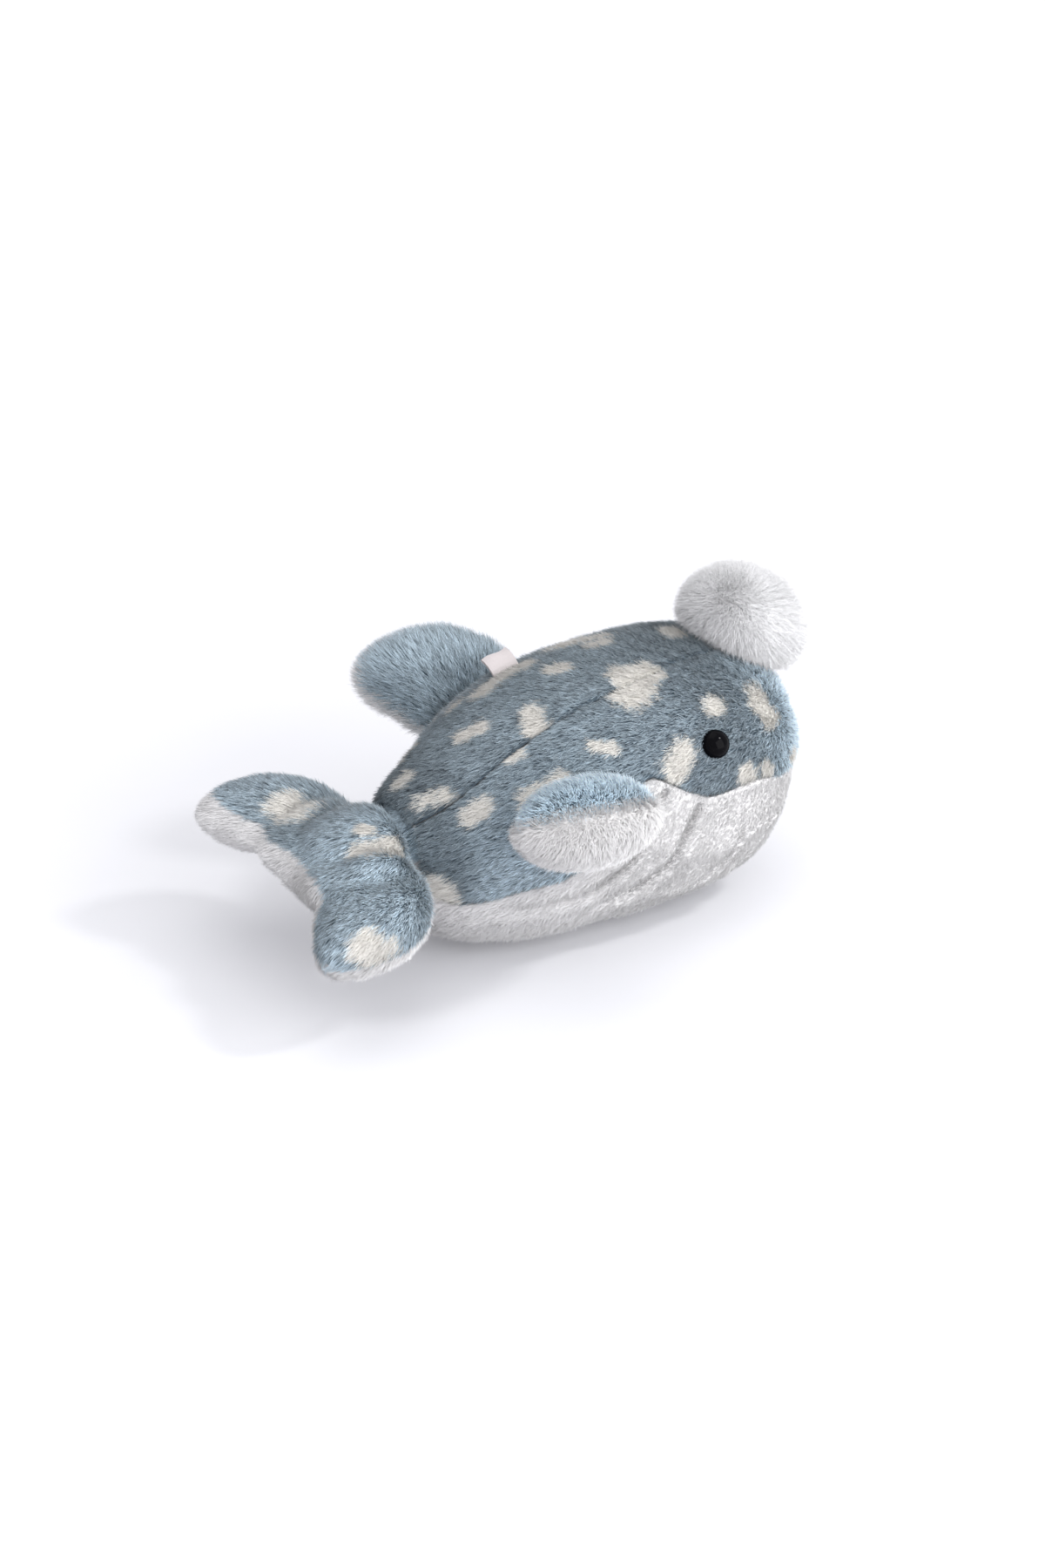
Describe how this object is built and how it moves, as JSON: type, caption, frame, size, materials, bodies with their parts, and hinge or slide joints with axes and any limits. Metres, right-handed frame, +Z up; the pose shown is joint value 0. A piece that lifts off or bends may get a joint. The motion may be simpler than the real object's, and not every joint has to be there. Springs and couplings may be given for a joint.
{
  "type": "plush whale",
  "caption": "Stuffed toy whale in blue and white pile fabric, lying on its belly, with flippers, tail flukes, glossy eyes and a pompon on its head.",
  "frame": {"origin": "middle of the flat patch that the belly rests on", "axes": "+X towards the nose, +Y towards the whale's left side, +Z up"},
  "size_m": [0.2422, 0.1617, 0.1303],
  "materials": {
    "pile_blue": "short dense grey-blue pile with cream patches, brushed towards the tail",
    "pile_white": "short dense off-white pile, pleated on the throat",
    "long_pile": "long loose white pile",
    "filling": "loose fibre filling, hidden inside",
    "eye_black": "polished black",
    "washer": "plain moulded, hidden inside",
    "thread": "wound sewing thread",
    "satin": "blank pinkish-white satin ribbon"
  },
  "bodies": {
    "trunk": {"back_panel": "pile_blue", "side_panel_right": "pile_blue", "side_panel_left": "pile_blue", "belly_panel": "pile_white", "trunk_stuffing": "filling", "eye_right": "eye_black", "eye_left": "eye_black", "eye_washer_right": "washer", "eye_washer_left": "washer", "sewn_in_label": "satin"},
    "tail": {"tail_top_panel": "pile_blue", "tail_underside_panel": "pile_white", "tail_stuffing": "filling"},
    "fluke_right": {"fluke_top_right": "pile_blue", "fluke_underside_right": "pile_white", "fluke_stuffing_right": "filling"},
    "fluke_left": {"fluke_top_left": "pile_blue", "fluke_underside_left": "pile_white", "fluke_stuffing_left": "filling"},
    "flipper_right": {"flipper_top_right": "pile_blue", "flipper_underside_right": "pile_white", "flipper_stuffing_right": "filling"},
    "flipper_left": {"flipper_top_left": "pile_blue", "flipper_underside_left": "pile_white", "flipper_stuffing_left": "filling"},
    "pompon": {"pompon_cover": "long_pile", "pompon_filling": "filling", "pompon_thread": "thread"}
  },
  "joints": [
    {"name": "tail_bend", "type": "hinge", "parent": "trunk", "child": "tail", "pos_m": [-0.082, 0, 0.05019], "axis": [0, 1, 0], "range_deg": [-18, 18], "stiffness_Nm_per_rad": 0.8},
    {"name": "fluke_right_bend", "type": "hinge", "parent": "tail", "child": "fluke_right", "pos_m": [-0.10972, -0.0233, 0.05019], "axis": [1, 0, 0], "range_deg": [-20, 20], "stiffness_Nm_per_rad": 0.3},
    {"name": "fluke_left_bend", "type": "hinge", "parent": "tail", "child": "fluke_left", "pos_m": [-0.10972, 0.0233, 0.05019], "axis": [1, 0, 0], "range_deg": [-20, 20], "stiffness_Nm_per_rad": 0.3},
    {"name": "flipper_right_flap", "type": "hinge", "parent": "trunk", "child": "flipper_right", "pos_m": [-0.02216, -0.05095, 0.06778], "axis": [0.9903, -0.1392, 0], "range_deg": [-12, 28], "stiffness_Nm_per_rad": 0.3},
    {"name": "flipper_left_flap", "type": "hinge", "parent": "trunk", "child": "flipper_left", "pos_m": [-0.02216, 0.05095, 0.06778], "axis": [0.9903, 0.1392, 0], "range_deg": [-28, 8], "stiffness_Nm_per_rad": 0.3},
    {"name": "pompon_nod", "type": "hinge", "parent": "trunk", "child": "pompon", "pos_m": [0.07304, 0, 0.10016], "axis": [0, 1, 0], "range_deg": [-10, 10], "stiffness_Nm_per_rad": 0.12}
  ]
}
